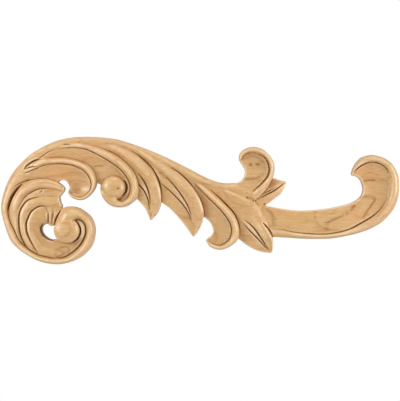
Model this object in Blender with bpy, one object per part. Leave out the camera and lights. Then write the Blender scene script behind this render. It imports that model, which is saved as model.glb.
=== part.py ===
"""Acanthus applique: one piece of carved wood, flat on the back, made to be fixed to a flat face.

It stands upright in the XZ plane. The back lies on y = 0 and the carving rises towards -Y.
The origin is on the back, at the place where it is fixed.
"""

import bmesh
import bpy
import numpy as np

# Driving dimensions, in metres
LENGTH = 0.2985
THICKNESS = 0.018
STEP_ALONG = 0.0050
STEP_ACROSS = 0.0024

# The carver's drawing. A point is millimetres right, millimetres up and millimetres above the back.
DRAWN_LENGTH = 298.5
DRAWN_THICKNESS = 18.0

# How far each blank reaches through the back before the back is cut flat, and what each next one adds
BACK_WASTE = 0.0020
BACK_WASTE_STEP = 0.0002

WOOD_COLOUR = (0.62, 0.40, 0.21, 1.0)
WOOD_ROUGHNESS = 0.45

# Each lobe: rails from its outer edge to its inner edge, and the swell of the band between each two rails.
# A swell above zero is a round, below zero a hollow; its values run from the root to the tip.
# Pins are the points of a rail that face each other across the lobe.
LOBES = {
    "top_band": {
        "rails": [
            [(-128.5, 34, 7.5), (-119.5, 39.5, 7.5), (-108, 44.5, 7.5), (-96.5, 47, 7.5),
             (-83, 47.6, 7.5), (-68, 46.5, 7.5), (-58, 44.5, 7.5), (-38, 37.5, 7.5), (-20, 29.5, 7.5),
             (-2.5, 20.5, 7.5), (5.5, 16.5, 7.5), (13, 13.7, 7.5), (20.5, 12.6, 7.5), (28, 12.5, 7.5),
             (43.5, 7.5, 7.5)],
            [(-126, 31, 7.8), (-117.5, 36, 8.8), (-106.5, 41, 9.8), (-96, 43.5, 10), (-83, 44.2, 10),
             (-68.5, 43.2, 10), (-59, 41.3, 10), (-39.5, 34.4, 10), (-21.5, 26.4, 10), (-4, 17.5, 10),
             (4, 13.5, 10), (12, 10.5, 10), (20, 9.5, 10), (27, 9, 10), (41, 3, 9)],
            [(-127.5, 7.5, 7), (-105, 21, 7.5), (-82.5, 17, 7.5), (-61.5, 11, 7.5), (-45, 7.5, 7.5),
             (-26, 3, 7.5), (3, -7.5, 7.5), (28, -24, 7.5), (42, -28, 7.5)],
        ],
        "swells": [(0.6,), (-0.8,)],
    },
    "volute_rim": {
        "rails": [
            [(-119.5, 39.5, 7.5), (-128.5, 34, 7), (-139.5, 22.5, 7), (-145.5, 12, 7.3),
             (-149, -0.5, 8.3), (-149, -10, 8.8), (-143.5, -28, 8.8), (-137.5, -35.8, 8.8),
             (-128.5, -42.3, 8.8), (-118.5, -46.8, 8.8), (-108, -48.4, 8.8), (-100, -47.4, 9.3),
             (-92, -44.5, 9.8), (-86, -40, 10.3), (-81, -33.5, 10.8), (-79, -25, 11.3),
             (-79.5, -18.5, 11.3), (-82, -13, 11.3), (-87, -8.5, 11.3), (-92, -5.7, 11.3),
             (-97, -4.8, 11.3), (-101, -5.3, 11.3), (-104.5, -7.5, 10.8), (-107.3, -12.5, 10.3),
             (-109.2, -18.5, 9.8), (-109.3, -25, 9.8)],
            [(-117, 25.5, 7), (-125, 19.5, 8), (-131.5, 14, 8.5), (-137, 9.5, 9), (-142.5, 0.5, 9.5),
             (-144.5, -8, 9.5), (-142.5, -16.5, 9), (-139.5, -22.5, 9), (-135, -31.5, 8.5),
             (-124, -40, 8), (-114, -43, 8), (-109, -43.5, 8.5), (-102.5, -43, 8.5), (-97.5, -40.5, 9),
             (-93, -37, 9), (-89, -32.5, 9.5), (-86, -26.5, 10), (-85.5, -22, 10), (-86.5, -18, 10.5),
             (-89.5, -15, 12), (-93.5, -14.6, 14), (-97, -17.5, 15.5), (-99.8, -22.6, 15.5)],
        ],
        "pins": [(5, 15, 20), (5, 16, 20)],
        "swells": [(1.28, 3.2, 3.6, 3.6, 4, 4, 3)],
    },
    "volute_hollow": {
        "rails": [
            [(-115.5, -4, 9), (-122, -3.5, 9), (-128.5, -7, 8.8), (-131, -13, 8.6), (-132, -19, 8.5),
             (-131.5, -25, 8.5), (-129.5, -30.5, 8.5), (-126.5, -36, 8.5), (-122.5, -41, 8.5),
             (-114, -44.5, 8.5), (-108, -45, 8.5), (-102.5, -44.5, 8.8), (-96, -42, 9.3),
             (-91.5, -38, 9.8), (-87, -33.5, 10.8), (-84, -27, 11.6), (-83.5, -21.5, 11.8),
             (-85, -16.5, 11.5), (-89, -12.5, 10.5), (-97, -10.5, 9.5)],
            [(-112.5, -9, 7.5), (-112, -13, 7.2), (-113, -16.8, 7.2), (-117, -18.5, 7.2),
             (-118.9, -20.5, 7.4), (-118.7, -24, 7.5), (-116.6, -27, 7.6), (-113, -29.4, 7.8),
             (-109, -29.6, 8), (-104.5, -29, 8), (-99, -30.2, 8.6), (-95, -28.9, 10.6),
             (-92.8, -26.5, 13.2), (-92.2, -22.5, 14.2), (-93.2, -19, 13), (-98.5, -17.5, 9)],
        ],
        "pins": [(4, 10), (4, 8)],
        "swells": [(0.2, 2.2, 2.6, 1.2, 0.2, 0.6, 0.4)],
    },
    "shell": {
        "rails": [
            [(-136, -36.5, 6), (-140.3, -29, 7), (-144.3, -20.5, 7), (-146.3, -11, 6.5), (-146, -4, 5.5),
             (-144, 3, 5), (-139.5, 9.5, 5), (-134.5, 13, 6), (-129, 14.8, 8), (-122.5, 15.7, 10),
             (-115.5, 16, 10), (-108.5, 14.3, 10), (-104.7, 12, 10), (-102.2, 9.6, 9.5)],
            [(-133, -38, 8), (-137, -29.5, 9), (-139.5, -19.5, 10), (-140.5, -11, 11), (-139.5, -4.5, 12),
             (-137, 1.5, 12.5), (-133.5, 6.5, 13), (-128, 10, 13), (-121.5, 12.5, 13), (-114, 13, 13),
             (-107, 11, 12.5), (-101.9, 8.2, 10.5)],
            [(-130, -39.5, 7.5), (-134.5, -31.5, 8), (-136.5, -25.5, 8.5), (-137.2, -18.5, 9),
             (-137.2, -11, 9.5), (-136, -5, 10), (-132, 1.5, 10), (-128, 5, 10), (-123.5, 7.3, 10.5),
             (-119.5, 8.5, 11), (-112.5, 8.4, 11.5), (-102.4, 6.6, 10.5)],
            [(-127.5, -41, 7), (-132.2, -32.5, 7.5), (-134.6, -27, 8), (-135.8, -21, 8.5),
             (-136.1, -14.5, 9), (-135.4, -9, 9.2), (-133.5, -5, 9.3), (-130, -0.7, 9.5),
             (-125, 1.5, 9.8), (-118.5, 2.5, 10), (-112.5, 2.7, 10.2), (-105.9, 2.3, 10)],
            [(-119.5, -44, 7), (-124.2, -36, 8), (-128, -29, 8), (-130, -24, 8), (-130.5, -18, 8),
             (-129, -13, 8.5), (-126.5, -8.5, 8.5), (-122.5, -5.5, 9), (-119, -4.5, 9), (-114, -5, 9.5),
             (-103.8, -6.8, 9.5)],
        ],
        "swells": [(0.8, 1.4), (0.9, 1.2), (0.6, 0.6), (1.4, 2.4, 2.2, 1.6, 0.8)],
    },
    "tongue": {
        "rails": [
            [(-116.6, -3.5, 8.5), (-115, -7.5, 9), (-116, -12, 8.5), (-115.8, -15.8, 7.5),
             (-115, -18, 6.5)],
            [(-113.3, -3, 9), (-113.6, -9, 9), (-113.8, -13.5, 8.2), (-113.3, -19.2, 6.5)],
            [(-109.9, -3, 9.5), (-110.4, -9, 9.3), (-111.2, -14.3, 8.5), (-111.9, -19.7, 6.5)],
            [(-103.8, -3, 9), (-104.3, -7.4, 9), (-106.7, -11.7, 8.8), (-108.5, -15, 8), (-110, -19, 6.5)],
        ],
        "swells": [(0.3, 0.8, 0.4), (0.3, 1, 0.5), (0.3, 0.8, 0.4)],
    },
    "lower_curl": {
        "rails": [
            [(-129, 24, 9), (-120, 30.5, 10), (-112.5, 32, 7.8), (-102, 32, 8.8), (-91, 29.5, 9.8),
             (-82.5, 25, 10.3), (-78.5, 17.5, 10.8), (-78.5, 10, 10.8), (-83, 3.5, 10.3), (-89, 0, 9.3),
             (-95, 1, 7.8), (-98.3, 3.6, 7.5), (-99.3, 6, 7.5)],
            [(-130.5, 18.5, 8.5), (-120, 25, 9), (-111, 27, 9.5), (-102, 27, 10), (-94, 25.5, 10.5),
             (-86.5, 21.5, 10.5), (-82, 14.5, 10.5), (-82.5, 7.5, 10), (-88, 2.7, 9.5), (-93, 2.6, 9),
             (-96.6, 4.2, 8.5), (-98.9, 6.4, 8.5)],
            [(-133.5, 9, 7), (-123, 11.5, 7.5), (-115, 12, 8), (-109, 12.5, 8.5), (-106, 14.5, 8.5),
             (-103, 15, 8.5), (-100.5, 14, 8.5), (-98.4, 10.5, 8.5), (-98.2, 8.5, 8.5), (-98.9, 6.8, 8.5)],
        ],
        "pins": [(4,), (4,), (4,)],
        "swells": [(0.77, 2.64, 2.99, 3.17, 2.99, 2.11), (0, -0.42, -0.84, -3, -0.8)],
    },
    "boss_curl": {
        "rails": [
            [(-105, 42.5, 9), (-91.5, 43, 10), (-79, 41, 7.8), (-69, 37, 8.8), (-61.5, 33, 9.8),
             (-54.5, 27, 10.8), (-48.5, 19.5, 11.3), (-46.2, 11, 11.3), (-47, 2.2, 10.8),
             (-52, -2.6, 10.3), (-59, -5.6, 9.8), (-67.5, -4, 9.3), (-73, 1.5, 8.8), (-74.9, 6.8, 7.8)],
            [(-109, 37.5, 8.5), (-101, 39, 9.5), (-91.5, 39, 10), (-83, 37, 10), (-72, 31.5, 10.5),
             (-62, 25, 10.5), (-55.5, 18, 10.5), (-52.5, 11, 10), (-53.5, 3.5, 10), (-58.5, -1, 10),
             (-64, -1, 10), (-69, 2.5, 10), (-72.5, 5.5, 10), (-74.9, 7.6, 10)],
            [(-116, 29, 7.7), (-105, 28.5, 7.7), (-94, 26, 8.2), (-86, 22, 8.2), (-82, 16.5, 8.7),
             (-79, 13.3, 8.7), (-76.3, 12.2, 8.7), (-74.6, 11.2, 9.2), (-75, 8.6, 9.2)],
        ],
        "pins": [(7,), (7,), (7,)],
        "swells": [(0.77, 2.46, 2.99, 3.34, 3.34, 2.82), (0, -0.7, -0.98, -0.7, -0.42)],
    },
    "curl_eye": {
        "rails": [
            [(-50, -1, 10), (-54, -4.3, 10), (-59, -5.6, 9.8), (-64, -5.3, 9.6), (-68.5, -3.2, 9.4),
             (-72.5, 1, 9.2), (-74.7, 6, 9), (-74, 11, 9)],
            [(-56, 1, 9.5), (-58.5, -0.6, 10.5), (-61, -0.4, 11.5), (-63, 1.4, 12.8), (-64.6, 4, 14),
             (-65.2, 6.5, 14.8), (-65, 9, 15)],
        ],
        "swells": [(2.2, 2.8, 2.4, 1.6, 1)],
    },
    "first_leaf": {
        "rails": [
            [(-75, 44, 8.5), (-64, 41, 10), (-53, 37, 9.8), (-43.5, 30, 11.3), (-35.5, 21, 11.8),
             (-30.5, 10.5, 11.8), (-29, 0, 10.8), (-31.5, -9, 8.8), (-36.4, -15, 7)],
            [(-69, 37.5, 8.5), (-60, 33, 9.5), (-52, 26, 10), (-45, 18.5, 10.5), (-40.5, 11.5, 10.5),
             (-38, 4, 10.4), (-37, -4.5, 9.6), (-36.8, -10.5, 8.1), (-36.8, -15, 6.5)],
            [(-72, 35, 8), (-62, 30, 9), (-54, 22, 9.5), (-47, 13, 9.5), (-42, 7, 9.5), (-39, 0.5, 9),
             (-38, -5, 8.7), (-37.4, -10.5, 8), (-37.1, -15.1, 6.4)],
            [(-75, 32, 7.5), (-66, 28, 7.5), (-58.5, 21, 7.5), (-52.5, 12, 8), (-49.5, 4.5, 8.5),
             (-47, 0.5, 8.5), (-41.5, -6, 8.5), (-38.3, -13, 7.6), (-37.4, -15.4, 6.4)],
        ],
        "swells": [(0.73, 2.5, 2.9, 2.3, 0.7), (0, 0.8, 0.8, 0), (0, 0.5, 0.5, 0)],
    },
    "great_leaf": {
        "rails": [
            [(-54, 41.5, 8.5), (-43, 37, 9.5), (-31.5, 31, 8.8), (-22, 24, 10.3), (-12.5, 17, 11.8),
             (-2.5, 5.5, 12.3), (2.5, -6.5, 11.8), (2, -16, 9.8), (-2, -24.5, 7), (-4.2, -27.5, 7)],
            [(-48, 35, 8.5), (-37, 27.5, 9.5), (-25, 17, 10.5), (-18.5, 10, 11), (-11.5, 0, 11),
             (-7.5, -8.5, 10.3), (-5, -18, 8.7), (-4.6, -27.3, 6.5)],
            [(-51, 33, 8), (-40, 23, 9), (-28.5, 12, 9.5), (-19.5, 4, 9.5), (-11.5, -5, 9.5),
             (-7, -13, 9.1), (-5.6, -20, 8.3), (-4.9, -27.4, 6.4)],
            [(-55.5, 30, 7.5), (-45, 21, 7.5), (-37.5, 10.5, 8), (-33, 2.5, 8.5), (-28.5, -2, 8.5),
             (-21.5, -7.5, 8.5), (-13.5, -16.5, 8), (-7.3, -25, 7.4), (-5.2, -27.9, 6.4)],
        ],
        "swells": [(0.73, 2.5, 3, 2.5, 0.7), (0, 0.8, 0.9, 0), (0, 0.5, 0.6, 0)],
    },
    "hooked_lobe": {
        "rails": [
            [(-26, 29, 6.5), (-15, 23.5, 7), (-4, 17, 7.3), (7, 8, 8.8), (16, -0.5, 10.3),
             (25.5, -11, 11.3), (29.2, -21, 11.3), (28.5, -29.5, 10.8), (22.5, -35, 9.8),
             (15.5, -37.5, 8.8), (8, -35.5, 7.8), (4.3, -30.5, 7.5)],
            [(-24, 24, 6.5), (-13, 18.5, 7), (-4, 12, 8.4), (6, 2, 9.8), (16.5, -8.5, 10.5),
             (23, -18.5, 10.5), (22.7, -28, 10), (16.5, -33.6, 9.5), (10, -33, 9), (5, -30, 9)],
            [(-28.5, 21, 7.2), (-16.5, 11, 7.2), (-7.5, 2, 7.7), (-1.5, -6, 8.2), (1.5, -11, 8.2),
             (3.5, -13, 8.2), (8, -17.5, 8.2), (10, -23.5, 8.2), (8.5, -27, 8.7), (5.4, -29.3, 9.2)],
        ],
        "swells": [(0, 0.9, 2.9, 3.34, 3.17, 2.29), (0, -0.3, -0.84, -0.98, -0.28)],
    },
    "last_leaf": {
        "rails": [
            [(10, 11.5, 8.5), (24, 6.5, 9.5), (38, 0.5, 9), (44.5, -5, 8.4), (48, -11, 8.6),
             (50, -17, 9.6), (52.3, -22.5, 10.6), (54.6, -28, 11), (54.8, -34.5, 9), (54.6, -39.2, 6.5)],
            [(12, 8, 9), (23, 5, 11), (33, -1, 11.2), (38.5, -7, 11.2), (42.5, -14, 11.2),
             (46, -20, 11.2), (50, -26, 11.2), (52.5, -31.5, 10), (54.2, -39.2, 6.3)],
            [(10.5, 4.5, 8), (21, -2.5, 9), (32, -13.5, 10), (40, -20.5, 10), (46.5, -29.5, 9.5),
             (50.3, -35.3, 8), (54, -39.3, 6)],
            [(9, 1.5, 7.5), (22, -7, 8.5), (30.5, -15.8, 9.3), (37.8, -23.3, 9.3), (44.7, -30.3, 8.6),
             (49.8, -36.3, 7.4), (53.7, -39.4, 6)],
            [(6, -1.5, 6), (16.5, -10, 6), (23.5, -19.5, 6.5), (27, -27, 7), (30, -30, 7),
             (35.5, -34.2, 7), (41.5, -37.5, 6.5), (47, -39.2, 6), (53.4, -40.1, 5.5)],
        ],
        "swells": [(0.2, 0.6, 0.8, 0.2), (0, 0.1, 1.4, 0.2), (0, 0.1, 0.8, 0.1), (0, 0.3, 0.5, 0.1)],
    },
    "upper_curl": {
        "rails": [
            [(41.5, 0, 8.5), (48, 6, 10), (52.5, 11.5, 8.3), (55.3, 18.5, 9.3), (56, 24, 9.8),
             (54.6, 30, 10.3), (48.5, 37, 10.3), (41, 39.9, 9.8), (33.5, 38.3, 8.8), (29.8, 34.5, 7.5),
             (29.4, 30, 7.5)],
            [(37.5, 3, 8.5), (41.5, 8, 9), (45.5, 11.5, 9.5), (51, 18, 9.5), (52, 24.5, 9.5),
             (49.5, 31, 9.5), (44, 34.5, 9.5), (37.5, 35.3, 9), (33, 33.6, 8.5), (30, 29.7, 8.5)],
            [(16.5, 6, 7.8), (23, 10, 8.3), (27.5, 12.9, 8.8), (31, 14.6, 8.8), (33.6, 18.5, 8.8),
             (33.9, 22.5, 8.8), (32.5, 25.5, 8.8), (30.3, 28.6, 8.8)],
        ],
        "pins": [(3,), (3,), (4,)],
        "swells": [(0.77, 2.46, 2.99, 2.99, 2.82, 2.11), (0, -0.42, -0.84, -0.84, -0.28)],
    },
    "small_leaf": {
        "rails": [
            [(46.5, 10.5, 5), (51, 14.5, 5.6), (55.8, 16.4, 6), (60, 15, 6), (65, 14.1, 5.6)],
            [(42, 0, 7), (50, 4, 7.4), (55, 6.5, 7.6), (59, 9.2, 7.4), (62.5, 12, 6.6), (65.1, 13.8, 5.4)],
            [(40.5, -6, 6.5), (46.5, -5, 7), (51.5, -2.5, 7.5), (56, 1, 7.5), (60, 4, 7.5),
             (62.7, 7.5, 7), (64.5, 11, 6.5), (65.2, 13.5, 5.6)],
        ],
        "swells": [(0.2, 0.6, 0.6, 0.2), (0.6, 1.2, 1, 0.2)],
    },
    "stem": {
        "rails": [
            [(26, 0, 6.5), (39, -3, 7.5), (51.5, -4.6, 8), (58.5, -6, 8), (67, -7.3, 8), (78.5, -8, 8),
             (92, -7, 8), (102, -5.4, 8), (112, -3, 8), (118.6, 0.2, 8.5), (122, 3.9, 8.5),
             (123, 8.5, 8.5), (122, 13, 8.5), (120, 16.5, 8.5), (117.5, 18, 8.5), (114.6, 18.6, 8.5)],
            [(30, -16.5, 7.5), (42, -19.5, 8.5), (51.5, -21, 9), (61.5, -22.5, 9), (72, -24.4, 9),
             (82, -25.4, 9), (92, -25.7, 9), (102, -24.7, 9), (112, -22, 9), (120.5, -17.7, 9),
             (129.5, -12.3, 9), (136, -6.3, 9), (140, 0.5, 9), (141.5, 6.5, 9), (142.1, 12.5, 9.3),
             (142, 19, 9.9), (139.6, 24, 10), (134, 27.6, 9.5), (127, 28.2, 9), (121, 25.7, 9),
             (117, 22.4, 9), (114.5, 19.3, 9)],
            [(30, -27, 6), (46.5, -28.5, 6.5), (54.5, -28, 6.5), (65, -28.5, 6.5), (75, -29.1, 6.5),
             (85, -29.4, 6.5), (97.5, -29.2, 6.5), (108, -27.6, 6.5), (118.5, -25.2, 6.5),
             (127.5, -22, 7), (135.5, -17.6, 8), (141, -12.6, 8.5), (145.3, -7, 9), (148, -1, 9),
             (149.3, 6, 9.5), (149.5, 11.5, 9.5), (149, 17.5, 9.5), (147, 23, 9), (144, 27.5, 9),
             (139.5, 30.9, 9), (135.5, 32.6, 9), (130, 33.9, 9), (125.5, 33.5, 8.5), (121.5, 31.9, 8),
             (118, 28.3, 7.5), (115.5, 24, 7), (114.3, 20.2, 6.5)],
        ],
        "pins": [(6, 9, 11, 13), (6, 10, 15, 18), (6, 11, 17, 21)],
        "swells": [(0.4, 0.8, 0.8, 0.4, -1, -1.4, -1.2, -0.4), (0.6, 1.4, 2, 3, 3.4, 3.4, 2.8, 1)],
    },
}

# The two bosses that the volute and the second curl wind into: place on the drawing, radius, edge, top
BOSSES = {
    "volute_boss": {"centre": (-99.8, -22.6), "radius": 9.6, "edge": 12.0, "top": 18.0},
    "curl_boss": {"centre": (-64.8, 9.1), "radius": 8.9, "edge": 9.5, "top": 15.0},
}
BOSS_SIDES = 28
BOSS_RINGS = 5


def to_metres(point):
    """A point of the drawing as (x, z, height) in metres."""
    plan = LENGTH / DRAWN_LENGTH
    relief = THICKNESS / DRAWN_THICKNESS
    return np.array([point[0] * plan, point[1] * plan, point[2] * relief])


def smooth_line(points, pieces=16):
    """A dense smooth line through the points, and the place of each point on it."""
    knots = np.array([to_metres(p) for p in points])
    before = 2 * knots[0] - knots[1]
    after = 2 * knots[-1] - knots[-2]
    frame = np.vstack([before, knots, after])
    line = []
    for i in range(1, len(frame) - 2):
        p0, p1, p2, p3 = frame[i - 1:i + 3]
        for t in np.linspace(0, 1, pieces, endpoint=False):
            line.append(0.5 * (2 * p1 + (p2 - p0) * t + (2 * p0 - 5 * p1 + 4 * p2 - p3) * t**2
                               + (3 * p1 - p0 - 3 * p2 + p3) * t**3))
    line.append(frame[-2])
    return np.array(line), [i * pieces for i in range(len(points))]


def stations_of(rails, pins):
    """Each rail sampled at the same stations, section by section between the pins."""
    lines = [smooth_line(rail) for rail in rails]
    sections = []
    for (line, places), marks in zip(lines, pins):
        ends = [0] + [places[m] for m in marks] + [len(line) - 1]
        sections.append([line[a:b + 1] for a, b in zip(ends, ends[1:])])
    sampled = [[] for rail in rails]
    for s in range(len(sections[0])):
        walks = []
        for section in sections:
            steps = np.linalg.norm(np.diff(section[s][:, :2], axis=0), axis=1)
            walks.append(np.concatenate([[0], np.cumsum(steps)]))
        longest = max(walk[-1] for walk in walks)
        count = max(2, int(round(longest / STEP_ALONG)))
        for out, section, walk in zip(sampled, sections, walks):
            wanted = np.linspace(0, walk[-1], count + 1)[(1 if s else 0):]
            out.extend(np.column_stack([np.interp(wanted, walk, section[s][:, k]) for k in range(3)]))
    return np.array(sampled)


def swell_at(values, share):
    """The swell at a share of the lobe's length, in metres."""
    heights = np.array(values, dtype=float) * THICKNESS / DRAWN_THICKNESS
    return float(np.interp(share, np.linspace(0, 1, len(heights)), heights))


def lobe_rows(lobe):
    """The carved surface of a lobe as rows of points, from its root to its tip."""
    rails = lobe["rails"]
    rows = stations_of(rails, lobe.get("pins", [()] * len(rails)))
    widths = np.linalg.norm(rows[:-1, :, :2] - rows[1:, :, :2], axis=2).max(axis=1)
    counts = [int(np.clip(round(w / STEP_ACROSS), 2, 4)) for w in widths]
    last = rows.shape[1] - 1
    surface = []
    for i in range(last + 1):
        row = [rows[0, i]]
        for band, count in enumerate(counts):
            near, far = rows[band, i], rows[band + 1, i]
            swell = swell_at(lobe["swells"][band], i / last)
            for j in range(1, count + 1):
                t = j / count
                point = near + (far - near) * t
                point[2] += 4 * swell * t * (1 - t)
                row.append(point)
        surface.append(row)
    return surface


def add_object(name, bm, collection):
    """A closed mesh with its faces pointing out, in the given collection."""
    bmesh.ops.remove_doubles(bm, verts=bm.verts, dist=0.00002)
    bmesh.ops.triangulate(bm, faces=bm.faces)
    bmesh.ops.recalc_face_normals(bm, faces=bm.faces)
    mesh = bpy.data.meshes.new(name)
    bm.to_mesh(mesh)
    bm.free()
    obj = bpy.data.objects.new(name, mesh)
    collection.objects.link(obj)
    return obj


def add_lobe(name, lobe, waste, collection):
    """One lobe as a closed blank: carved front, upright sides and a bottom past the back."""
    bm = bmesh.new()
    front, rear = [], []
    for row in lobe_rows(lobe):
        front.append([bm.verts.new((p[0], -p[2], p[1])) for p in row])
        rear.append([bm.verts.new((p[0], waste, p[1])) for p in row])
    for i in range(len(front) - 1):
        for j in range(len(front[i]) - 1):
            bm.faces.new((front[i][j], front[i][j + 1], front[i + 1][j + 1], front[i + 1][j]))
            bm.faces.new((rear[i][j], rear[i + 1][j], rear[i + 1][j + 1], rear[i][j + 1]))
        bm.faces.new((front[i][0], front[i + 1][0], rear[i + 1][0], rear[i][0]))
        bm.faces.new((front[i][-1], rear[i][-1], rear[i + 1][-1], front[i + 1][-1]))
    for j in range(len(front[0]) - 1):
        bm.faces.new((front[0][j + 1], front[0][j], rear[0][j], rear[0][j + 1]))
        bm.faces.new((front[-1][j], front[-1][j + 1], rear[-1][j + 1], rear[-1][j]))
    return add_object(name, bm, collection)


def add_boss(name, boss, waste, collection):
    """A round boss: a dome on an upright cylinder."""
    x, z, edge = to_metres((*boss["centre"], boss["edge"]))
    radius, _, top = to_metres((boss["radius"], 0, boss["top"]))
    bm = bmesh.new()
    rings = [[radius, -waste]]
    for k in range(BOSS_RINGS):
        angle = 0.5 * np.pi * k / BOSS_RINGS
        rings.append([radius * np.cos(angle), edge + (top - edge) * np.sin(angle)])
    turns = np.linspace(0, 2 * np.pi, BOSS_SIDES, endpoint=False)
    loops = []
    for r, height in rings:
        loops.append([bm.verts.new((x + r * np.cos(a), -height, z + r * np.sin(a))) for a in turns])
    crown = bm.verts.new((x, -top, z))
    for low, high in zip(loops, loops[1:]):
        for k in range(BOSS_SIDES):
            n = (k + 1) % BOSS_SIDES
            bm.faces.new((low[k], low[n], high[n], high[k]))
    for k in range(BOSS_SIDES):
        bm.faces.new((loops[-1][k], loops[-1][(k + 1) % BOSS_SIDES], crown))
    bm.faces.new(loops[0])
    return add_object(name, bm, collection)


def add_wood():
    """Sanded, unfinished light hardwood."""
    wood = bpy.data.materials.new("Sanded maple")
    wood.use_nodes = True
    shader = wood.node_tree.nodes["Principled BSDF"]
    shader.inputs["Base Color"].default_value = WOOD_COLOUR
    shader.inputs["Roughness"].default_value = WOOD_ROUGHNESS
    shader.inputs["Metallic"].default_value = 0.0
    return wood


def add_collection(name):
    collection = bpy.data.collections.new(name)
    bpy.context.scene.collection.children.link(collection)
    return collection


def add_cut(obj, name, operation, **operand):
    """A Boolean step on the carving."""
    step = obj.modifiers.new(name, "BOOLEAN")
    step.operation = operation
    step.solver = "EXACT"
    for key, value in operand.items():
        setattr(step, key, value)


def main():
    for obj in list(bpy.data.objects):
        bpy.data.objects.remove(obj)
    made = add_collection("Acanthus applique")
    blanks = add_collection("Lobe blanks")
    cutters = add_collection("Cutters")

    names = list(LOBES)
    carving = add_lobe("acanthus_applique", LOBES[names[0]], BACK_WASTE, made)
    carving.data.materials.append(add_wood())
    helpers = []
    waste = BACK_WASTE
    for name in names[1:]:
        waste += BACK_WASTE_STEP
        helpers.append(add_lobe(name, LOBES[name], waste, blanks))
    for name, boss in BOSSES.items():
        waste += BACK_WASTE_STEP
        helpers.append(add_boss(name, boss, waste, blanks))

    depth = 4 * waste
    bpy.ops.mesh.primitive_cube_add(size=1, location=(0, depth / 2, 0))
    back = bpy.context.object
    back.name = "back_plane"
    back.scale = (2 * LENGTH, depth, LENGTH)
    for collection in list(back.users_collection):
        collection.objects.unlink(back)
    cutters.objects.link(back)
    helpers.append(back)

    for helper in helpers:
        helper.hide_render = True
        helper.display_type = "WIRE"
    add_cut(carving, "Join the lobes", "UNION", operand_type="COLLECTION", collection=blanks)
    add_cut(carving, "Cut the back flat", "DIFFERENCE", object=back)


main()
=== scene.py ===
"""Acanthus applique: a scroll of light hardwood, carved on the front and flat on the back.

The carving is built lobe by lobe from the rails of the carver's drawing. Each lobe is a grid bent onto
its rails and pushed back through the board. The lobes are then fused and sanded into one piece of wood.
"""

import bpy
import numpy as np
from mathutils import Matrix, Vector


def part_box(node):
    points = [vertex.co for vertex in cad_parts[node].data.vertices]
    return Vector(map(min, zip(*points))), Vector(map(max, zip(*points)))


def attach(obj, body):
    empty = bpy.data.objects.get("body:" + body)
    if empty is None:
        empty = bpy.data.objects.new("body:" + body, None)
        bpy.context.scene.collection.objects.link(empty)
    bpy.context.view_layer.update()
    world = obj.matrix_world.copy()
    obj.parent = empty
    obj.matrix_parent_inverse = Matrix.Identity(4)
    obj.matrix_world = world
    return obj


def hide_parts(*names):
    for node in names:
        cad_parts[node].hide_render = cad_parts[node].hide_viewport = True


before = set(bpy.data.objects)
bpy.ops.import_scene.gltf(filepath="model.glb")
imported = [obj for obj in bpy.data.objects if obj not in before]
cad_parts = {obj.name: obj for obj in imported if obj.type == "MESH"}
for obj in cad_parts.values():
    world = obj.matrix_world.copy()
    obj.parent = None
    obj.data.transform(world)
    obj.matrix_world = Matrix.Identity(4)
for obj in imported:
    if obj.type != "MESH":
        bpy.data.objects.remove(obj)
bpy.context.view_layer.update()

bl_info = {
    "name": "Acanthus applique",
    "version": (1, 0, 0),
    "blender": (4, 5, 0),
    "location": "3D View > Sidebar > Applique",
    "description": "Models a carved acanthus scroll and a studio stage for it",
    "category": "Object",
}

NODE = "acanthus_applique"
MM = 0.001

# The carver's drawing. A point is millimetres right, millimetres up and millimetres above the back.
# The drawing is scaled to the frame's length and thickness.
DRAWN_LENGTH = 299.08
DRAWN_THICKNESS = 18.0
BOX_LOW, BOX_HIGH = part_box(NODE)
PLAN = (BOX_HIGH[0] - BOX_LOW[0]) / DRAWN_LENGTH
RELIEF = (BOX_HIGH[1] - BOX_LOW[1]) / DRAWN_THICKNESS

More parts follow.
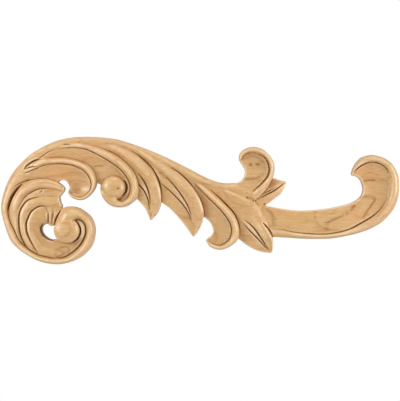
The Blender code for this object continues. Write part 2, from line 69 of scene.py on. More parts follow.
# Each lobe: rails from its outer edge to its inner edge, and the swell of the band between each two rails.
# A swell above zero is a round, below zero a hollow; its values run from the root to the tip.
# Pins are the points of a rail that face each other across the lobe.
LOBES = {
    "top_band": {
        "rails": [
            [(-128.5, 34, 7.5), (-119.5, 39.5, 7.5), (-108, 44.5, 7.5), (-96.5, 47, 7.5),
             (-83, 47.6, 7.5), (-68, 46.5, 7.5), (-58, 44.5, 7.5), (-38, 37.5, 7.5), (-20, 29.5, 7.5),
             (-2.5, 20.5, 7.5), (5.5, 16.5, 7.5), (13, 13.7, 7.5), (20.5, 12.6, 7.5), (28, 12.5, 7.5),
             (43.5, 7.5, 7.5)],
            [(-126, 31, 7.8), (-117.5, 36, 8.8), (-106.5, 41, 9.8), (-96, 43.5, 10), (-83, 44.2, 10),
             (-68.5, 43.2, 10), (-59, 41.3, 10), (-39.5, 34.4, 10), (-21.5, 26.4, 10), (-4, 17.5, 10),
             (4, 13.5, 10), (12, 10.5, 10), (20, 9.5, 10), (27, 9, 10), (41, 3, 9)],
            [(-127.5, 7.5, 7), (-105, 21, 7.5), (-82.5, 17, 7.5), (-61.5, 11, 7.5), (-45, 7.5, 7.5),
             (-26, 3, 7.5), (3, -7.5, 7.5), (28, -24, 7.5), (42, -28, 7.5)],
        ],
        "swells": [(0.6,), (-0.8,)],
    },
    "volute_rim": {
        "rails": [
            [(-119.5, 39.5, 7.5), (-128.5, 34, 7), (-139.5, 22.5, 7), (-145.5, 12, 7.3),
             (-149, -0.5, 8.3), (-149, -10, 8.8), (-143.5, -28, 8.8), (-137.5, -35.8, 8.8),
             (-128.5, -42.3, 8.8), (-118.5, -46.8, 8.8), (-108, -48.4, 8.8), (-100, -47.4, 9.3),
             (-92, -44.5, 9.8), (-86, -40, 10.3), (-81, -33.5, 10.8), (-79, -25, 11.3),
             (-79.5, -18.5, 11.3), (-82, -13, 11.3), (-87, -8.5, 11.3), (-92, -5.7, 11.3),
             (-97, -4.8, 11.3), (-101, -5.3, 11.3), (-104.5, -7.5, 10.8), (-107.3, -12.5, 10.3),
             (-109.2, -18.5, 9.8), (-109.3, -25, 9.8)],
            [(-117, 25.5, 7), (-125, 19.5, 8), (-131.5, 14, 8.5), (-137, 9.5, 9), (-142.5, 0.5, 9.5),
             (-144.5, -8, 9.5), (-142.5, -16.5, 9), (-139.5, -22.5, 9), (-135, -31.5, 8.5),
             (-124, -40, 8), (-114, -43, 8), (-109, -43.5, 8.5), (-102.5, -43, 8.5), (-97.5, -40.5, 9),
             (-93, -37, 9), (-89, -32.5, 9.5), (-86, -26.5, 10), (-85.5, -22, 10), (-86.5, -18, 10.5),
             (-89.5, -15, 12), (-93.5, -14.6, 14), (-97, -17.5, 15.5), (-99.8, -22.6, 15.5)],
        ],
        "pins": [(5, 15, 20), (5, 16, 20)],
        "swells": [(1.28, 3.2, 3.6, 3.6, 4, 4, 3)],
    },
    "volute_hollow": {
        "rails": [
            [(-115.5, -4, 9), (-122, -3.5, 9), (-128.5, -7, 8.8), (-131, -13, 8.6), (-132, -19, 8.5),
             (-131.5, -25, 8.5), (-129.5, -30.5, 8.5), (-126.5, -36, 8.5), (-122.5, -41, 8.5),
             (-114, -44.5, 8.5), (-108, -45, 8.5), (-102.5, -44.5, 8.8), (-96, -42, 9.3),
             (-91.5, -38, 9.8), (-87, -33.5, 10.8), (-84, -27, 11.6), (-83.5, -21.5, 11.8),
             (-85, -16.5, 11.5), (-89, -12.5, 10.5), (-97, -10.5, 9.5)],
            [(-112.5, -9, 7.5), (-112, -13, 7.2), (-113, -16.8, 7.2), (-117, -18.5, 7.2),
             (-118.9, -20.5, 7.4), (-118.7, -24, 7.5), (-116.6, -27, 7.6), (-113, -29.4, 7.8),
             (-109, -29.6, 8), (-104.5, -29, 8), (-99, -30.2, 8.6), (-95, -28.9, 10.6),
             (-92.8, -26.5, 13.2), (-92.2, -22.5, 14.2), (-93.2, -19, 13), (-98.5, -17.5, 9)],
        ],
        "pins": [(4, 10), (4, 8)],
        "swells": [(0.2, 2.2, 2.6, 1.2, 0.2, 0.6, 0.4)],
    },
    "shell": {
        "rails": [
            [(-136, -36.5, 6), (-140.3, -29, 7), (-144.3, -20.5, 7), (-146.3, -11, 6.5), (-146, -4, 5.5),
             (-144, 3, 5), (-139.5, 9.5, 5), (-134.5, 13, 6), (-129, 14.8, 8), (-122.5, 15.7, 10),
             (-115.5, 16, 10), (-108.5, 14.3, 10), (-104.7, 12, 10), (-102.2, 9.6, 9.5)],
            [(-133, -38, 8), (-137, -29.5, 9), (-139.5, -19.5, 10), (-140.5, -11, 11), (-139.5, -4.5, 12),
             (-137, 1.5, 12.5), (-133.5, 6.5, 13), (-128, 10, 13), (-121.5, 12.5, 13), (-114, 13, 13),
             (-107, 11, 12.5), (-101.9, 8.2, 10.5)],
            [(-130, -39.5, 7.5), (-134.5, -31.5, 8), (-136.5, -25.5, 8.5), (-137.2, -18.5, 9),
             (-137.2, -11, 9.5), (-136, -5, 10), (-132, 1.5, 10), (-128, 5, 10), (-123.5, 7.3, 10.5),
             (-119.5, 8.5, 11), (-112.5, 8.4, 11.5), (-102.4, 6.6, 10.5)],
            [(-127.5, -41, 7), (-132.2, -32.5, 7.5), (-134.6, -27, 8), (-135.8, -21, 8.5),
             (-136.1, -14.5, 9), (-135.4, -9, 9.2), (-133.5, -5, 9.3), (-130, -0.7, 9.5),
             (-125, 1.5, 9.8), (-118.5, 2.5, 10), (-112.5, 2.7, 10.2), (-105.9, 2.3, 10)],
            [(-119.5, -44, 7), (-124.2, -36, 8), (-128, -29, 8), (-130, -24, 8), (-130.5, -18, 8),
             (-129, -13, 8.5), (-126.5, -8.5, 8.5), (-122.5, -5.5, 9), (-119, -4.5, 9), (-114, -5, 9.5),
             (-103.8, -6.8, 9.5)],
        ],
        "swells": [(0.8, 1.4), (0.9, 1.2), (0.6, 0.6), (1.4, 2.4, 2.2, 1.6, 0.8)],
    },
    "tongue": {
        "rails": [
            [(-116.6, -3.5, 8.5), (-115, -7.5, 9), (-116, -12, 8.5), (-115.8, -15.8, 7.5),
             (-115, -18, 6.5)],
            [(-113.3, -3, 9), (-113.6, -9, 9), (-113.8, -13.5, 8.2), (-113.3, -19.2, 6.5)],
            [(-109.9, -3, 9.5), (-110.4, -9, 9.3), (-111.2, -14.3, 8.5), (-111.9, -19.7, 6.5)],
            [(-103.8, -3, 9), (-104.3, -7.4, 9), (-106.7, -11.7, 8.8), (-108.5, -15, 8), (-110, -19, 6.5)],
        ],
        "swells": [(0.3, 0.8, 0.4), (0.3, 1, 0.5), (0.3, 0.8, 0.4)],
    },
    "lower_curl": {
        "rails": [
            [(-129, 24, 9), (-120, 30.5, 10), (-112.5, 32, 7.8), (-102, 32, 8.8), (-91, 29.5, 9.8),
             (-82.5, 25, 10.3), (-78.5, 17.5, 10.8), (-78.5, 10, 10.8), (-83, 3.5, 10.3), (-89, 0, 9.3),
             (-95, 1, 7.8), (-98.3, 3.6, 7.5), (-99.3, 6, 7.5)],
            [(-130.5, 18.5, 8.5), (-120, 25, 9), (-111, 27, 9.5), (-102, 27, 10), (-94, 25.5, 10.5),
             (-86.5, 21.5, 10.5), (-82, 14.5, 10.5), (-82.5, 7.5, 10), (-88, 2.7, 9.5), (-93, 2.6, 9),
             (-96.6, 4.2, 8.5), (-98.9, 6.4, 8.5)],
            [(-133.5, 9, 7), (-123, 11.5, 7.5), (-115, 12, 8), (-109, 12.5, 8.5), (-106, 14.5, 8.5),
             (-103, 15, 8.5), (-100.5, 14, 8.5), (-98.4, 10.5, 8.5), (-98.2, 8.5, 8.5), (-98.9, 6.8, 8.5)],
        ],
        "pins": [(4,), (4,), (4,)],
        "swells": [(0.77, 2.64, 2.99, 3.17, 2.99, 2.11), (0, -0.42, -0.84, -3, -0.8)],
    },
    "boss_curl": {
        "rails": [
            [(-105, 42.5, 9), (-91.5, 43, 10), (-79, 41, 7.8), (-69, 37, 8.8), (-61.5, 33, 9.8),
             (-54.5, 27, 10.8), (-48.5, 19.5, 11.3), (-46.2, 11, 11.3), (-47, 2.2, 10.8),
             (-52, -2.6, 10.3), (-59, -5.6, 9.8), (-67.5, -4, 9.3), (-73, 1.5, 8.8), (-74.9, 6.8, 7.8)],
            [(-109, 37.5, 8.5), (-101, 39, 9.5), (-91.5, 39, 10), (-83, 37, 10), (-72, 31.5, 10.5),
             (-62, 25, 10.5), (-55.5, 18, 10.5), (-52.5, 11, 10), (-53.5, 3.5, 10), (-58.5, -1, 10),
             (-64, -1, 10), (-69, 2.5, 10), (-72.5, 5.5, 10), (-74.9, 7.6, 10)],
            [(-116, 29, 7.7), (-105, 28.5, 7.7), (-94, 26, 8.2), (-86, 22, 8.2), (-82, 16.5, 8.7),
             (-79, 13.3, 8.7), (-76.3, 12.2, 8.7), (-74.6, 11.2, 9.2), (-75, 8.6, 9.2)],
        ],
        "pins": [(7,), (7,), (7,)],
        "swells": [(0.77, 2.46, 2.99, 3.34, 3.34, 2.82), (0, -0.7, -0.98, -0.7, -0.42)],
    },
    "curl_eye": {
        "rails": [
            [(-50, -1, 10), (-54, -4.3, 10), (-59, -5.6, 9.8), (-64, -5.3, 9.6), (-68.5, -3.2, 9.4),
             (-72.5, 1, 9.2), (-74.7, 6, 9), (-74, 11, 9)],
            [(-56, 1, 9.5), (-58.5, -0.6, 10.5), (-61, -0.4, 11.5), (-63, 1.4, 12.8), (-64.6, 4, 14),
             (-65.2, 6.5, 14.8), (-65, 9, 15)],
        ],
        "swells": [(2.2, 2.8, 2.4, 1.6, 1)],
    },
    "first_leaf": {
        "rails": [
            [(-75, 44, 8.5), (-64, 41, 10), (-53, 37, 9.8), (-43.5, 30, 11.3), (-35.5, 21, 11.8),
             (-30.5, 10.5, 11.8), (-29, 0, 10.8), (-31.5, -9, 8.8), (-36.4, -15, 7)],
            [(-69, 37.5, 8.5), (-60, 33, 9.5), (-52, 26, 10), (-45, 18.5, 10.5), (-40.5, 11.5, 10.5),
             (-38, 4, 10.4), (-37, -4.5, 9.6), (-36.8, -10.5, 8.1), (-36.8, -15, 6.5)],
            [(-72, 35, 8), (-62, 30, 9), (-54, 22, 9.5), (-47, 13, 9.5), (-42, 7, 9.5), (-39, 0.5, 9),
             (-38, -5, 8.7), (-37.4, -10.5, 8), (-37.1, -15.1, 6.4)],
            [(-75, 32, 7.5), (-66, 28, 7.5), (-58.5, 21, 7.5), (-52.5, 12, 8), (-49.5, 4.5, 8.5),
             (-47, 0.5, 8.5), (-41.5, -6, 8.5), (-38.3, -13, 7.6), (-37.4, -15.4, 6.4)],
        ],
        "swells": [(0.73, 2.5, 2.9, 2.3, 0.7), (0, 0.8, 0.8, 0), (0, 0.5, 0.5, 0)],
    },
    "great_leaf": {
        "rails": [
            [(-54, 41.5, 8.5), (-43, 37, 9.5), (-31.5, 31, 8.8), (-22, 24, 10.3), (-12.5, 17, 11.8),
             (-2.5, 5.5, 12.3), (2.5, -6.5, 11.8), (2, -16, 9.8), (-2, -24.5, 7), (-4.2, -27.5, 7)],
            [(-48, 35, 8.5), (-37, 27.5, 9.5), (-25, 17, 10.5), (-18.5, 10, 11), (-11.5, 0, 11),
             (-7.5, -8.5, 10.3), (-5, -18, 8.7), (-4.6, -27.3, 6.5)],
            [(-51, 33, 8), (-40, 23, 9), (-28.5, 12, 9.5), (-19.5, 4, 9.5), (-11.5, -5, 9.5),
             (-7, -13, 9.1), (-5.6, -20, 8.3), (-4.9, -27.4, 6.4)],
            [(-55.5, 30, 7.5), (-45, 21, 7.5), (-37.5, 10.5, 8), (-33, 2.5, 8.5), (-28.5, -2, 8.5),
             (-21.5, -7.5, 8.5), (-13.5, -16.5, 8), (-7.3, -25, 7.4), (-5.2, -27.9, 6.4)],
        ],
        "swells": [(0.73, 2.5, 3, 2.5, 0.7), (0, 0.8, 0.9, 0), (0, 0.5, 0.6, 0)],
    },
    "hooked_lobe": {
        "rails": [
            [(-26, 29, 6.5), (-15, 23.5, 7), (-4, 17, 7.3), (7, 8, 8.8), (16, -0.5, 10.3),
             (25.5, -11, 11.3), (29.2, -21, 11.3), (28.5, -29.5, 10.8), (22.5, -35, 9.8),
             (15.5, -37.5, 8.8), (8, -35.5, 7.8), (4.3, -30.5, 7.5)],
            [(-24, 24, 6.5), (-13, 18.5, 7), (-4, 12, 8.4), (6, 2, 9.8), (16.5, -8.5, 10.5),
             (23, -18.5, 10.5), (22.7, -28, 10), (16.5, -33.6, 9.5), (10, -33, 9), (5, -30, 9)],
            [(-28.5, 21, 7.2), (-16.5, 11, 7.2), (-7.5, 2, 7.7), (-1.5, -6, 8.2), (1.5, -11, 8.2),
             (3.5, -13, 8.2), (8, -17.5, 8.2), (10, -23.5, 8.2), (8.5, -27, 8.7), (5.4, -29.3, 9.2)],
        ],
        "swells": [(0, 0.9, 2.9, 3.34, 3.17, 2.29), (0, -0.3, -0.84, -0.98, -0.28)],
    },
    "last_leaf": {
        "rails": [
            [(10, 11.5, 8.5), (24, 6.5, 9.5), (38, 0.5, 9), (44.5, -5, 8.4), (48, -11, 8.6),
             (50, -17, 9.6), (52.3, -22.5, 10.6), (54.6, -28, 11), (54.8, -34.5, 9), (54.6, -39.2, 6.5)],
            [(12, 8, 9), (23, 5, 11), (33, -1, 11.2), (38.5, -7, 11.2), (42.5, -14, 11.2),
             (46, -20, 11.2), (50, -26, 11.2), (52.5, -31.5, 10), (54.2, -39.2, 6.3)],
            [(10.5, 4.5, 8), (21, -2.5, 9), (32, -13.5, 10), (40, -20.5, 10), (46.5, -29.5, 9.5),
             (50.3, -35.3, 8), (54, -39.3, 6)],
            [(9, 1.5, 7.5), (22, -7, 8.5), (30.5, -15.8, 9.3), (37.8, -23.3, 9.3), (44.7, -30.3, 8.6),
             (49.8, -36.3, 7.4), (53.7, -39.4, 6)],
            [(6, -1.5, 6), (16.5, -10, 6), (23.5, -19.5, 6.5), (27, -27, 7), (30, -30, 7),
             (35.5, -34.2, 7), (41.5, -37.5, 6.5), (47, -39.2, 6), (53.4, -40.1, 5.5)],
        ],
        "swells": [(0.2, 0.6, 0.8, 0.2), (0, 0.1, 1.4, 0.2), (0, 0.1, 0.8, 0.1), (0, 0.3, 0.5, 0.1)],
    },
    "upper_curl": {
        "rails": [
            [(41.5, 0, 8.5), (48, 6, 10), (52.5, 11.5, 8.3), (55.3, 18.5, 9.3), (56, 24, 9.8),
             (54.6, 30, 10.3), (48.5, 37, 10.3), (41, 39.9, 9.8), (33.5, 38.3, 8.8), (29.8, 34.5, 7.5),
             (29.4, 30, 7.5)],
            [(37.5, 3, 8.5), (41.5, 8, 9), (45.5, 11.5, 9.5), (51, 18, 9.5), (52, 24.5, 9.5),
             (49.5, 31, 9.5), (44, 34.5, 9.5), (37.5, 35.3, 9), (33, 33.6, 8.5), (30, 29.7, 8.5)],
            [(16.5, 6, 7.8), (23, 10, 8.3), (27.5, 12.9, 8.8), (31, 14.6, 8.8), (33.6, 18.5, 8.8),
             (33.9, 22.5, 8.8), (32.5, 25.5, 8.8), (30.3, 28.6, 8.8)],
        ],
        "pins": [(3,), (3,), (4,)],
        "swells": [(0.77, 2.46, 2.99, 2.99, 2.82, 2.11), (0, -0.42, -0.84, -0.84, -0.28)],
    },
    "small_leaf": {
        "rails": [
            [(46.5, 10.5, 5), (51, 14.5, 5.6), (55.8, 16.4, 6), (60, 15, 6), (65, 14.1, 5.6)],
            [(42, 0, 7), (50, 4, 7.4), (55, 6.5, 7.6), (59, 9.2, 7.4), (62.5, 12, 6.6), (65.1, 13.8, 5.4)],
            [(40.5, -6, 6.5), (46.5, -5, 7), (51.5, -2.5, 7.5), (56, 1, 7.5), (60, 4, 7.5),
             (62.7, 7.5, 7), (64.5, 11, 6.5), (65.2, 13.5, 5.6)],
        ],
        "swells": [(0.2, 0.6, 0.6, 0.2), (0.6, 1.2, 1, 0.2)],
    },
    "stem": {
        "rails": [
            [(26, 0, 6.5), (39, -3, 7.5), (51.5, -4.6, 8), (58.5, -6, 8), (67, -7.3, 8), (78.5, -8, 8),
             (92, -7, 8), (102, -5.4, 8), (112, -3, 8), (118.6, 0.2, 8.5), (122, 3.9, 8.5),
             (123, 8.5, 8.5), (122, 13, 8.5), (120, 16.5, 8.5), (117.5, 18, 8.5), (114.6, 18.6, 8.5)],
            [(30, -16.5, 7.5), (42, -19.5, 8.5), (51.5, -21, 9), (61.5, -22.5, 9), (72, -24.4, 9),
             (82, -25.4, 9), (92, -25.7, 9), (102, -24.7, 9), (112, -22, 9), (120.5, -17.7, 9),
             (129.5, -12.3, 9), (136, -6.3, 9), (140, 0.5, 9), (141.5, 6.5, 9), (142.1, 12.5, 9.3),
             (142, 19, 9.9), (139.6, 24, 10), (134, 27.6, 9.5), (127, 28.2, 9), (121, 25.7, 9),
             (117, 22.4, 9), (114.5, 19.3, 9)],
            [(30, -27, 6), (46.5, -28.5, 6.5), (54.5, -28, 6.5), (65, -28.5, 6.5), (75, -29.1, 6.5),
             (85, -29.4, 6.5), (97.5, -29.2, 6.5), (108, -27.6, 6.5), (118.5, -25.2, 6.5),
             (127.5, -22, 7), (135.5, -17.6, 8), (141, -12.6, 8.5), (145.3, -7, 9), (148, -1, 9),
             (149.3, 6, 9.5), (149.5, 11.5, 9.5), (149, 17.5, 9.5), (147, 23, 9), (144, 27.5, 9),
             (139.5, 30.9, 9), (135.5, 32.6, 9), (130, 33.9, 9), (125.5, 33.5, 8.5), (121.5, 31.9, 8),
             (118, 28.3, 7.5), (115.5, 24, 7), (114.3, 20.2, 6.5)],
        ],
        "pins": [(6, 9, 11, 13), (6, 10, 15, 18), (6, 11, 17, 21)],
        "swells": [(0.4, 0.8, 0.8, 0.4, -1, -1.4, -1.2, -0.4), (0.6, 1.4, 2, 3, 3.4, 3.4, 2.8, 1)],
    },
}

# The two bosses that the volute and the second curl wind into: place on the drawing, radius, edge, top
BOSSES = {
    "volute_boss": {"centre": (-99.8, -22.6), "radius": 9.6, "edge": 13.5, "top": 18.0},
    "curl_boss": {"centre": (-64.8, 9.1), "radius": 8.9, "edge": 9.5, "top": 15.0},
}

# The carver's cuts: narrow V grooves along a rail of a lobe, from one share of its length to another.
# Width and depth are millimetres at the middle of the cut, and both fall to nothing at its ends.
RAIL_CUTS = (
    ("lower_curl", 1, 0.08, 0.97, 1.4, 1.7),
    ("boss_curl", 1, 0.02, 0.86, 1.4, 1.7),
    ("hooked_lobe", 1, 0.21, 0.97, 1.5, 1.9),
    ("upper_curl", 1, 0.06, 0.74, 1.9, 2.4),
    ("upper_curl", 1, 0.70, 0.90, 0.9, 0.5),
    ("stem", 1, 0.12, 0.71, 1.3, 1.5),
    ("stem", 1, 0.80, 0.915, 1.4, 1.7),
    ("stem", 1, 0.90, 0.995, 1.7, 2.3),
    ("volute_rim", 1, 0.28, 0.70, 1.3, 1.4),
    ("volute_rim", 1, 0.62, 0.96, 1.7, 2.3),
    ("shell", 4, 0.05, 0.86, 1.9, 2.5),
    ("shell", 3, 0.02, 0.80, 1.7, 2.4),
    ("shell", 2, 0.50, 0.88, 1.1, 1.2),
    ("first_leaf", 1, 0.42, 0.84, 1.5, 2.1),
    ("first_leaf", 2, 0.50, 0.89, 1.5, 2.1),
    ("great_leaf", 1, 0.35, 0.82, 1.4, 1.9),
    ("great_leaf", 2, 0.38, 0.86, 1.4, 1.9),
    ("last_leaf", 2, 0.47, 0.97, 1.6, 2.3),
    ("last_leaf", 3, 0.49, 0.97, 1.5, 1.9),
    ("small_leaf", 1, 0.15, 0.95, 1.6, 2.0),
    ("stem", 1, 0.42, 0.66, 1.7, 2.3),
    ("lower_curl", 0, 0.12, 0.60, 1.1, 1.1),
    ("boss_curl", 0, 0.22, 0.70, 1.1, 1.1),
    ("upper_curl", 0, 0.04, 0.34, 1.1, 1.4),
    ("shell", 0, 0.50, 0.93, 1.1, 1.2),
)

# Cuts that follow no rail: points on the drawing, width and depth in millimetres
FREE_CUTS = (
    ([(-132.5, 22.6), (-129.5, 26.3), (-123.9, 29.7), (-119.4, 30.8)], 2.0, 3.4),
    ([(-144.5, -8.2), (-143, -2.2), (-140.8, 3.1), (-137.4, 8), (-133.3, 12.1)], 2.8, 4.5),
    ([(47, -16.8), (48.6, -18.6), (51, -21.4), (53.1, -25), (54.6, -29), (55, -31)], 2.2, 3.6),
    ([(-133, 22.5), (-126.8, 24.8), (-120.5, 25.2)], 1.3, 1.6),
    ([(-132.5, 19.6), (-126.8, 22.1), (-120.2, 24.7)], 1.3, 1.6),
    ([(-126, 28.5), (-120.5, 31.8), (-114, 36), (-108, 38.2)], 1.2, 1.2),
    ([(-120.8, 5.1), (-117.6, 7.3)], 1.1, 1.0),
    ([(-104, -7), (-105.2, -9), (-106.8, -11.7), (-108.3, -14.6), (-109.2, -17.5), (-110.2, -19.2)],
     2.0, 4.5),
    ([(-94.5, -14.4), (-91.8, -17), (-89.9, -20), (-89.4, -23.2), (-89.9, -25.8), (-91.3, -28.4),
      (-93.2, -30.3), (-96, -31.8)], 1.8, 4.0),
    ([(-57, 15), (-55.6, 12.5), (-55, 9.5), (-55.6, 6.6), (-57.3, 4.2), (-59.5, 2.8)], 2.0, 3.5),
    ([(46.5, 4.4), (50, 6), (53.5, 7.6), (57.5, 9.8)], 1.2, 1.2),
    ([(-116.6, -4.2), (-115.3, -6.2), (-114.3, -9), (-114, -12.5), (-114.2, -18.5)], 2.0, 1.1),
    ([(-110.9, -5.4), (-110.3, -8.5), (-110.6, -13), (-111.7, -18.7)], 1.8, 0.9),
    ([(-81.2, 24.9), (-76, 25.6), (-71.7, 25.4)], 1.1, 0.8),
    ([(-53.3, 37.8), (-45.2, 33), (-36, 24), (-30.7, 13.8), (-28.9, 2.6), (-29.4, -5)], 1.6, 1.8),
    ([(-22, 24.4), (-16.3, 21), (-9.2, 14.2), (-3.6, 6.7), (0.6, -0.4), (3.2, -9.2), (3, -16)], 1.7, 2.0),
    ([(7.2, 8.2), (12.6, 3.4), (18.4, -2.1), (25.6, -10.2), (29.6, -20), (29.8, -27)], 1.5, 1.8),
    ([(-117.6, -17.6), (-119.6, -20.2), (-119.7, -23), (-118.2, -26.2), (-115, -28.9), (-111.8, -30.3),
      (-108.5, -30.6)], 1.7, 3.5),
)

# Spots that the carver blended by hand: centre on the drawing, radius in millimetres and rounds of sanding
BLENDED = (
    ((-101.5, -14), 9.5, 120),
    ((-104, -20), 7.0, 60),
    ((-71.5, 4), 6.5, 120),
    ((-67, 8), 7.0, 60),
    ((-110, -6), 6.5, 80),
    ((48, -11), 8.0, 120),
    ((-125, 34), 9.0, 160),
    ((140, 22), 6.0, 60),
    ((-103, -22.6), 10.0, 100),
)

# The board's own figure where it shows: dark growth rings in loops, and the small dark eyes of pin knots.
# Points on the drawing, width in millimetres and strength
FIGURE = (
    ([(116.4, -3.7), (114, -7), (108.7, -10.9), (100.3, -14.8), (95.1, -17.3), (93.8, -19.9), (96, -23)],
     2.0, 0.85),
    ([(116, -4.2), (114.3, -6.2)], 2.2, 1.0),
    ([(120.3, 1.4), (124.8, 2.7), (129.4, 2.4), (131.6, 0.5), (130, -2.5), (126.2, -7.6), (123, -12.8)],
     1.8, 0.75),
    ([(122.9, 14.3), (127.4, 15), (131.3, 15)], 1.8, 0.85),
    ([(123.5, 19.5), (129, 20.5), (134, 18.5)], 1.5, 0.42),
    ([(50.6, -7), (54.5, -11.5), (55.1, -19.3)], 2.5, 0.59),
    ([(33.8, 16), (37.8, 15.8), (42.7, 16.8), (46.7, 18.8)], 1.9, 0.68),
    ([(33.5, 31), (38.5, 32.8), (43.5, 31.8), (46.5, 29)], 1.5, 0.42),
    ([(-108.9, -39.3), (-106, -36.5), (-101.4, -35), (-98, -37), (-99.5, -39.8), (-104.2, -41.6),
      (-108, -42.2), (-108.9, -39.3)], 1.5, 0.68),
    ([(-86.6, 38.4), (-83, 38.7), (-79, 38.6)], 1.5, 0.51),
    ([(37.8, 26.5), (38.4, 26.5)], 2.8, 1.0),
    ([(42.4, 26.8), (44.2, 26.8)], 2.2, 1.0),
    ([(35.2, 1.8), (35.7, 1.6)], 2.0, 1.0),
    ([(40, -0.3), (40.5, -0.3)], 1.8, 1.0),
    ([(48.2, -3), (48.7, -3)], 1.8, 1.0),
    ([(-61.2, 8.6), (-60.9, 8.6)], 2.2, 1.0),
    ([(-33.9, -11.3), (-33.5, -11.3)], 2.0, 1.0),
    ([(-102, 41.5), (-99.5, 41.6), (-97.3, 41.4)], 1.6, 0.94),
)

# How far each blank reaches through the back before the back is cut flat, and what each next one adds
BACK_WASTE = 2.0 * MM
BACK_WASTE_STEP = 0.2 * MM

# Facets round each boss and up it, and how full its dome is: 2 is half an ellipsoid, more is flatter on top
BOSS_SIDES = 96
BOSS_RINGS = 24
BOSS_CROWN = 2.6

# Heights above the back, in drawn millimetres, down to which the blending and the V cuts reach
BLEND_FLOOR = 3.0
CUT_FLOOR = 1.5

# A cut's depth eases off towards its ends by this power, and at the very ends its width is this share
CUT_EASE = 0.6
CUT_END_WIDTH = 0.4

# Grooves are told from open wood by these rounds of smoothing, and count in full at this depth
GROOVE_ROUNDS = 40
GROOVE_DEPTH = 0.6 * MM

# A dark ring fades out over this share of its half width, and a blended spot over this share of its radius
RING_FADE = 2 / 3
BLEND_FADE = 0.5

# Steps of strength in a blended spot, and the weight below which a point is left alone
BLEND_LEVELS = 10
BLEND_LEAST = 0.01

# Wood nearer to the back than this is sawn and not carved
SAWN_MARGIN = 0.5 * MM

# How far a sheet is extruded before its far side is flattened, and how near to each other points are welded
THROUGH = 100 * MM
WELD = 0.01 * MM

# Edges that turn by more than this, in radians, are shown sharp
SHARP_ANGLE = 1.0


def linear(hex_colour):
    """An sRGB hex colour as linear red, green, blue and alpha."""
    parts = [int(hex_colour[i:i + 2], 16) / 255 for i in (1, 3, 5)]
    return tuple(p / 12.92 if p <= 0.04045 else ((p + 0.055) / 1.055) ** 2.4 for p in parts) + (1.0,)


class AcanthusSettings(bpy.types.PropertyGroup):
    """Sizes and colours of the carving."""

    station_step: bpy.props.FloatProperty(
        name="Station step", description="Distance between the sections along a lobe",
        default=0.9 * MM, min=0.2 * MM, unit="LENGTH")
    profile_step: bpy.props.FloatProperty(
        name="Profile step", description="Distance between the points across a lobe",
        default=0.6 * MM, min=0.2 * MM, unit="LENGTH")
    grit: bpy.props.FloatProperty(
        name="Finest detail", description="Size of the smallest detail that the sanding leaves",
        default=0.34 * MM, min=0.2 * MM, unit="LENGTH")
    sanding: bpy.props.IntProperty(
        name="Sanding", description="Rounds of smoothing over the fused carving", default=6, min=0)
    faces: bpy.props.IntProperty(
        name="Triangles", description="Most triangles in the finished carving", default=190000, min=1000)
    ring_width: bpy.props.FloatProperty(
        name="Ring width", description="Thickness of one year's growth", default=3.4 * MM, unit="LENGTH")
    early_wood: bpy.props.FloatVectorProperty(
        name="Early wood", description="Colour of the pale wood", subtype="COLOR", size=4,
        default=linear("#D2AC78"))
    late_wood: bpy.props.FloatVectorProperty(
        name="Late wood", description="Colour of the thin dark lines of the rings", subtype="COLOR",
        size=4, default=linear("#A87338"))
    # Painted highlight: the pale cream mixed onto the crests and rims
    crest_highlight: bpy.props.FloatVectorProperty(
        name="Sanded crests", description="Colour of the pale sanded edges", subtype="COLOR", size=4,
        default=linear("#F3DDBB"))
    # Painted shade: the dark brown mixed down into the cuts and creases
    cut_shade: bpy.props.FloatVectorProperty(
        name="Cuts", description="Colour down in the carver's cuts", subtype="COLOR", size=4,
        default=linear("#6A3609"))
    floor_colour: bpy.props.FloatVectorProperty(
        name="Floor", description="Colour of the studio floor", subtype="COLOR", size=4,
        default=linear("#F1EFEB"))


def to_metres(point):
    """A point of the drawing as (x, z, height) in metres."""
    return np.array([point[0] * PLAN, point[1] * PLAN, point[2] * RELIEF])


def smooth_line(points, pieces=24):
    """A dense smooth line through the points, and the place of each point on it."""
    knots = np.array([to_metres(p) for p in points])
    padded = np.vstack([2 * knots[0] - knots[1], knots, 2 * knots[-1] - knots[-2]])
    line = []
    for i in range(1, len(padded) - 2):
        p0, p1, p2, p3 = padded[i - 1:i + 3]
        for t in np.linspace(0, 1, pieces, endpoint=False):
            line.append(0.5 * (2 * p1 + (p2 - p0) * t + (2 * p0 - 5 * p1 + 4 * p2 - p3) * t**2
                               + (3 * p1 - p0 - 3 * p2 + p3) * t**3))
    line.append(padded[-2])
    return np.array(line), [i * pieces for i in range(len(points))]


def walked(line):
    """The way along a line in the plan from its first point to each point."""
    steps = np.linalg.norm(np.diff(line[:, :2], axis=0), axis=1)
    return np.concatenate([[0], np.cumsum(steps)])


def stations_of(rails, pins, step):
    """Each rail sampled at the same stations, section by section between the pins."""
    lines = [smooth_line(rail) for rail in rails]
    sections = []
    for (line, places), marks in zip(lines, pins):
        ends = [0] + [places[m] for m in marks] + [len(line) - 1]
        sections.append([line[a:b + 1] for a, b in zip(ends, ends[1:])])
    sampled = [[] for rail in rails]
    for s in range(len(sections[0])):
        walks = [walked(section[s]) for section in sections]
        count = max(2, int(round(max(walk[-1] for walk in walks) / step)))
        for out, section, walk in zip(sampled, sections, walks):
            wanted = np.linspace(0, walk[-1], count + 1)[(1 if s else 0):]
            out.extend(np.column_stack([np.interp(wanted, walk, section[s][:, k]) for k in range(3)]))
    return np.array(sampled)


def swell_along(values, count):
    """The swell at each of the stations, eased between the drawn values."""
    heights = np.array(values, dtype=float) * RELIEF
    place = np.linspace(0, len(heights) - 1, count)
    left = np.clip(place.astype(int), 0, max(0, len(heights) - 2))
    share = place - left
    ease = share * share * (3 - 2 * share)
    right = np.minimum(left + 1, len(heights) - 1)
    return heights[left] * (1 - ease) + heights[right] * ease


